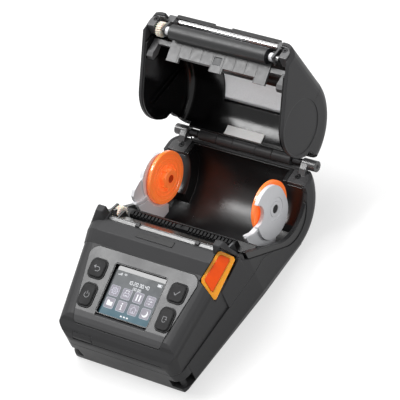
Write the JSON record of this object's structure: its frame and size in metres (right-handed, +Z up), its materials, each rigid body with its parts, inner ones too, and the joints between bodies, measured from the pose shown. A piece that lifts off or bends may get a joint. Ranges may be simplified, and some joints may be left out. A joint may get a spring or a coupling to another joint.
{
  "type": "mobile printer",
  "caption": "Belt-size mobile label printer: a wedge case with display panel, buttons and lever, and an open paper lid over a bay with sliding roll guides.",
  "frame": {"origin": "On the floor under the case, on the left-right centre plane, 95 mm behind the front face", "axes": "X to the right seen from the control panel, Y to the rear where the lid is hinged, Z up. The lid stands open at rest."},
  "size_m": [0.1238, 0.2175, 0.1372],
  "materials": {
    "case_plastic": "fine matte texture",
    "panel_grey": "satin",
    "key_rubber": "silicone, matte",
    "gloss_black": "gloss",
    "display_glass": "clear over a grey display",
    "display_body": "matte",
    "orange_plastic": "satin",
    "red_plastic": "satin",
    "grey_plastic": "satin",
    "steel": "ground",
    "dark_steel": "black oxide",
    "chassis_steel": "zinc plated look",
    "black_plastic": "satin",
    "ceramic": "glazed",
    "aluminium": "machined",
    "gear_plastic": "satin, cream",
    "brass": "satin",
    "board": "solder mask",
    "window_clear": "clear",
    "chrome": "polished",
    "platen_rubber": "ground rubber",
    "white_label": "satin"
  },
  "bodies": {
    "case": {"lower_case": "case_plastic", "upper_case": "case_plastic", "panel_plate": "panel_grey", "keypad": "key_rubber", "lcd_bezel": "gloss_black", "lcd_lens": "display_glass", "lcd_module": "display_body", "badge_plate": "black_plastic", "roll_well": "gloss_black", "hinge_blocks": "grey_plastic", "hinge_pin": "dark_steel", "hinge_springs": "dark_steel", "base_screws": "dark_steel", "tear_bar": "steel", "tear_bar_clips": "black_plastic", "media_sensor": "black_plastic", "print_chassis": "chassis_steel", "print_head": "ceramic", "heat_sink": "aluminium", "head_springs": "steel", "gear_plate": "chassis_steel", "stepper_motor": "chassis_steel", "main_board": "board", "battery_pack": "black_plastic", "strap_pins": "steel"},
    "lid": {"lid_shell": "case_plastic", "lid_liner": "gloss_black", "lid_window": "window_clear", "paper_comb": "black_plastic", "gap_sensor": "display_body", "chrome_bar": "chrome", "lid_blade": "black_plastic", "corner_posts": "black_plastic", "lid_screws": "dark_steel", "platen_bushes": "grey_plastic", "label_plate": "white_label"},
    "platen": {"platen_shaft": "steel", "platen_rubber": "platen_rubber", "platen_gear": "gear_plastic"},
    "left_guide": {"guide_arm_left": "grey_plastic", "guide_axles_left": "black_plastic", "guide_rack_left": "black_plastic"},
    "right_guide": {"guide_arm_right": "grey_plastic", "guide_axles_right": "black_plastic", "guide_rack_right": "black_plastic"},
    "left_disc": {"guide_disc_left": "orange_plastic"},
    "right_disc": {"guide_disc_right": "orange_plastic"},
    "pinion": {"rack_pinion": "gear_plastic"},
    "release_lever": {"lever": "orange_plastic", "lever_insert": "red_plastic"},
    "latch": {"latch_bar": "steel"},
    "back_key": {"key_back": "key_rubber"},
    "power_key": {"key_power": "key_rubber"},
    "confirm_key": {"key_confirm": "key_rubber"},
    "feed_key": {"key_feed": "key_rubber"},
    "drive": {"drive_gear": "gear_plastic"},
    "idler": {"idler_gear": "gear_plastic"},
    "motor_gear": {"motor_pinion": "brass"},
    "battery_slider": {"battery_latch": "orange_plastic"},
    "port_flap": {"port_cover": "case_plastic"}
  },
  "joints": [
    {"name": "lid_hinge", "type": "hinge", "parent": "case", "child": "lid", "pos_m": [0, 0.086, 0.04], "axis": [1, 0, 0], "range_deg": [0, 87.9]},
    {"name": "platen_spin", "type": "hinge", "parent": "lid", "child": "platen", "pos_m": [0, 0.10261, 0.13017], "axis": [1, 0, 0], "continuous": true},
    {"name": "guide_left_slide", "type": "slide", "parent": "case", "child": "left_guide", "axis": [1, 0, 0], "range_m": [0, 0.024]},
    {"name": "guide_right_slide", "type": "slide", "parent": "case", "child": "right_guide", "axis": [-1, 0, 0], "range_m": [0, 0.024]},
    {"name": "disc_left_spin", "type": "hinge", "parent": "left_guide", "child": "left_disc", "pos_m": [0, 0.0444, 0.0384], "axis": [1, 0, 0], "continuous": true},
    {"name": "disc_right_spin", "type": "hinge", "parent": "right_guide", "child": "right_disc", "pos_m": [0, 0.0444, 0.0384], "axis": [1, 0, 0], "continuous": true},
    {"name": "rack_pinion_spin", "type": "hinge", "parent": "case", "child": "pinion", "pos_m": [0, 0.017, 0.006], "axis": [0, 0, 1], "range_deg": [-343.77, 0]},
    {"name": "lever_press", "type": "hinge", "parent": "case", "child": "release_lever", "pos_m": [0, -0.04, 0.045], "axis": [1, 0, 0], "range_deg": [-3, 0], "stiffness_Nm_per_rad": 0.3},
    {"name": "latch_turn", "type": "hinge", "parent": "case", "child": "latch", "pos_m": [0, -0.012, 0.048], "axis": [1, 0, 0], "range_deg": [0, 4]},
    {"name": "back_key_press", "type": "slide", "parent": "case", "child": "back_key", "axis": [0, 0.3256, -0.9455], "range_m": [0, 0.0008], "stiffness_N_per_m": 600},
    {"name": "power_key_press", "type": "slide", "parent": "case", "child": "power_key", "axis": [0, 0.3256, -0.9455], "range_m": [0, 0.0008], "stiffness_N_per_m": 600},
    {"name": "confirm_key_press", "type": "slide", "parent": "case", "child": "confirm_key", "axis": [0, 0.3256, -0.9455], "range_m": [0, 0.0008], "stiffness_N_per_m": 600},
    {"name": "feed_key_press", "type": "slide", "parent": "case", "child": "feed_key", "axis": [0, 0.3256, -0.9455], "range_m": [0, 0.0008], "stiffness_N_per_m": 600},
    {"name": "idler_spin", "type": "hinge", "parent": "case", "child": "idler", "pos_m": [-0.05, -0.0133, 0.0404], "axis": [1, 0, 0], "continuous": true},
    {"name": "drive_gear_spin", "type": "hinge", "parent": "case", "child": "drive", "pos_m": [-0.05, -0.002, 0.0489], "axis": [1, 0, 0], "continuous": true},
    {"name": "motor_spin", "type": "hinge", "parent": "case", "child": "motor_gear", "pos_m": [-0.05, -0.0233, 0.0356], "axis": [1, 0, 0], "continuous": true},
    {"name": "battery_latch_slide", "type": "slide", "parent": "case", "child": "battery_slider", "axis": [0, 1, 0], "range_m": [0, 0.003]},
    {"name": "port_cover_hinge", "type": "hinge", "parent": "case", "child": "port_flap", "pos_m": [-0.029, -0.0936, 0.028], "axis": [1, 0, 0], "range_deg": [0, 90]}
  ],
  "couplings": [
    {"joint": "guide_right_slide", "follows": "guide_left_slide", "ratio": 1},
    {"joint": "rack_pinion_spin", "follows": "guide_left_slide", "rad_per_m": -250},
    {"joint": "latch_turn", "follows": "lever_press", "ratio": -1.3333},
    {"joint": "drive_gear_spin", "follows": "idler_spin", "ratio": -1.3333},
    {"joint": "motor_spin", "follows": "idler_spin", "ratio": -2.6667}
  ]
}
